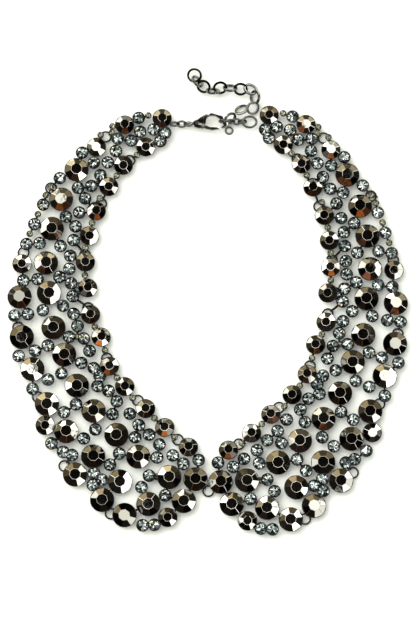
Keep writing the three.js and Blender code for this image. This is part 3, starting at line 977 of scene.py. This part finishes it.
def node_middle(node):
    low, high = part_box(node)
    return (low + high) / 2


jump_rings = sorted(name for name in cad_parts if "jump_ring" in name) + ["centre_link"]
for node in jump_rings:
    ring = wire_ring(node, RING_RADIUS, RING_RADIUS, RING_WIRE)
    rise = FRONT_LINK_RISE * MM if node == "centre_link" else 0
    place = Matrix.Translation(node_middle(node) + Vector((0, rise, 0)))
    finished_wire(ring, node + "_wire", place, gunmetal, "links", node)


# Loose links and extension chain
# Oval links of the same wire between the clasp and the halves. The chain's links hang in
# each other, each turned the other way, and end in a larger ring.

LINK_TILT = math.pi / 4
LOOSE_LINKS = {
    "clasp_link": {"count": 3, "long": 2.0, "wide": 1.5, "pitch": 3.2, "thicker": 1.3},
    "hooked_link": {"count": 1, "long": 2.75, "wide": 2.75, "pitch": 0, "thicker": 1},
    "slanting_link": {"count": 3, "long": 1.75, "wide": 1.4, "pitch": 2.7, "thicker": 1.3},
    "oval_ring": {"count": 1, "long": 3.2, "wide": 2.6, "pitch": 0, "thicker": 1.3},
}
HOOKED_TILT = math.pi / 2
for node, size in LOOSE_LINKS.items():
    parts = []
    for order in range(size["count"]):
        wire = RING_WIRE * size["thicker"]
        link = wire_ring(node, size["long"], size["wide"], wire)
        tilt = LINK_TILT * (1 if order % 2 else -1) if size["count"] > 1 else 0
        if node == "hooked_link":
            tilt = HOOKED_TILT
        along = (order - (size["count"] - 1) / 2) * size["pitch"] * MM
        link.data.transform(Matrix.Translation((along, 0, 0)) @ Matrix.Rotation(tilt, 4, "X"))
        parts.append(link)
    place = Matrix.Translation(node_middle(node))
    finished_wire(gather(node, parts), node + "_wire", place, bright_plate, "links", node)

SPARE_RING = {"radius": 1.6, "wire": 0.42, "steps": (21, 404.6)}
spare_place = chart_place((-SPARE_RING["steps"][0], SPARE_RING["steps"][1]))
spare = wire_ring("spare", SPARE_RING["radius"], SPARE_RING["radius"], SPARE_RING["wire"])
spare_lift = Matrix.Translation((spare_place.x, spare_place.y, SPARE_RING["wire"] * MM))
finished_wire(spare, "spare_ring", spare_lift, bright_plate, "links")

# Chart steps right of the middle line and up, from the hooked link to the end ring, and how
# far each link leans
CHAIN_ROUTE = [
    {"steps": (21.7, 415.3), "lean": 58}, {"steps": (33.6, 424.8), "lean": -38},
    {"steps": (44.8, 426.6), "lean": 30}, {"steps": (47.2, 437.4), "lean": -44},
    {"steps": (42.6, 445.4), "lean": 24}, {"steps": (32.6, 445.6), "lean": -3},
    {"steps": (22.1, 446.9), "lean": 46}, {"steps": (12.0, 447.0), "lean": -5},
    {"steps": (4.5, 443.8), "lean": 52}, {"steps": (-4.7, 448.3), "lean": -6},
    {"steps": (-10.8, 453.5), "lean": 48}, {"steps": (-13.9, 459.8), "lean": 2},
]
CHAIN_LINK = {"long": 2.85, "wide": 2.5}
CHAIN_WIRE = 0.56
CHAIN_ROLLED = 0.75
END_RING = 3.0
CHAIN_START_HEIGHT = 3.55
CHAIN_HEIGHT = 2.6

ROLLED_TONES = ((0.10, 0.10, 0.095, 1), (0.24, 0.24, 0.23, 1))
rolled_plate = tinted_plate("rolled_plate", ROLLED_TONES, Smoothest=0.04, Roughest=0.08, Waves=0.5)

chain_places = [chart_place((-row["steps"][0], row["steps"][1])) for row in CHAIN_ROUTE]
chain_parts = []
for order, place in enumerate(chain_places):
    before = chain_places[max(order - 1, 0)]
    after = chain_places[min(order + 1, len(chain_places) - 1)]
    heading = after - before
    last = order == len(chain_places) - 1
    long = END_RING if last else CHAIN_LINK["long"]
    wide = END_RING if last else CHAIN_LINK["wide"]
    link = wire_ring("chain_link", long, wide, CHAIN_WIRE, across=16, rolled=CHAIN_ROLLED)
    height = (CHAIN_START_HEIGHT if order == 0 else CHAIN_HEIGHT) * MM
    link.data.transform(
        Matrix.Translation((place.x, place.y, height))
        @ Matrix.Rotation(math.atan2(heading.y, heading.x), 4, "Z")
        @ Matrix.Rotation(math.radians(CHAIN_ROUTE[order]["lean"]), 4, "X")
    )
    chain_parts.append(link)
chain = gather("chain", chain_parts)
finished_wire(
    chain, "extension_chain_links", Matrix.Identity(4), rolled_plate, "links", "extension_chain"
)


# Clasp
# A cast lobster clasp: spine and hook in one, with a sprung lever on a pin in its slot. All
# its edges are rounded and polished.

CLASP_EDGE = 0.6
LEVER_EDGE = 0.3
CAST_TONES = ((0.17, 0.165, 0.15, 1), (0.50, 0.49, 0.45, 1))
cast_plate = tinted_plate(
    "cast_plate", CAST_TONES, Scale=360, Smoothest=0.06, Roughest=0.14, Waves=0.55
)


# The hook's middle, as shares of the clasp's length from the corner of its box, and how much
# fuller than the model its back and the lever's back are cast
HOOK_MIDDLE = Vector((0.64, 0.2))
HOOK_BACK = {"from": 0.27, "corner": (-0.13, -0.12), "fuller": (1.18, 1.18, 1)}
LEVER_BACK = {"below": -0.16, "fuller": (1, 1.16, 1)}

clasp_low, clasp_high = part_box("clasp_body")
clasp_length = clasp_high.x - clasp_low.x
hook_middle = clasp_low + Vector((*HOOK_MIDDLE, 0)) * clasp_length


def hook_back(place):
    left, bottom = HOOK_BACK["corner"]
    return place.length > HOOK_BACK["from"] and place.x > left and place.y > bottom


def lever_back(place):
    return place.y < LEVER_BACK["below"]


def rounded_casting(node, name, edge, fuller, back):
    """The modelled part cast fuller at its back, with its edges rounded, as a new piece."""
    piece = bpy.data.objects.new(name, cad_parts[node].data.copy())
    bpy.context.collection.objects.link(piece)
    deselect()
    piece.select_set(True)
    bpy.context.view_layer.objects.active = piece
    bpy.ops.object.mode_set(mode="EDIT")
    bpy.ops.mesh.select_all(action="SELECT")
    bpy.ops.mesh.remove_doubles(threshold=0.005 * MM)
    bpy.ops.mesh.dissolve_limited(angle_limit=math.radians(2))
    bpy.ops.mesh.select_mode(type="VERT")
    bpy.ops.mesh.select_all(action="DESELECT")
    work = bmesh.from_edit_mesh(piece.data)
    for vertex in work.verts:
        vertex.select_set(back(((vertex.co - hook_middle) / clasp_length).to_2d()))
    bmesh.update_edit_mesh(piece.data)
    bpy.ops.transform.resize(value=fuller, center_override=hook_middle)
    bpy.ops.object.mode_set(mode="OBJECT")
    rounding = piece.modifiers.new("rounding", "BEVEL")
    rounding.width = edge * MM
    rounding.segments = 3
    rounding.angle_limit = math.radians(35)
    bpy.ops.object.modifier_apply(modifier="rounding")
    smooth(piece)
    piece.data.materials.clear()
    piece.data.materials.append(cast_plate)
    return piece


clasp_casting = rounded_casting(
    "clasp_body", "clasp_casting", CLASP_EDGE, HOOK_BACK["fuller"], hook_back
)
fasten(clasp_casting, "clasp", "clasp_body")
lever_casting = rounded_casting(
    "clasp_lever", "lever_casting", LEVER_EDGE, LEVER_BACK["fuller"], lever_back
)
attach(lever_casting, "lever")
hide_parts("clasp_lever")
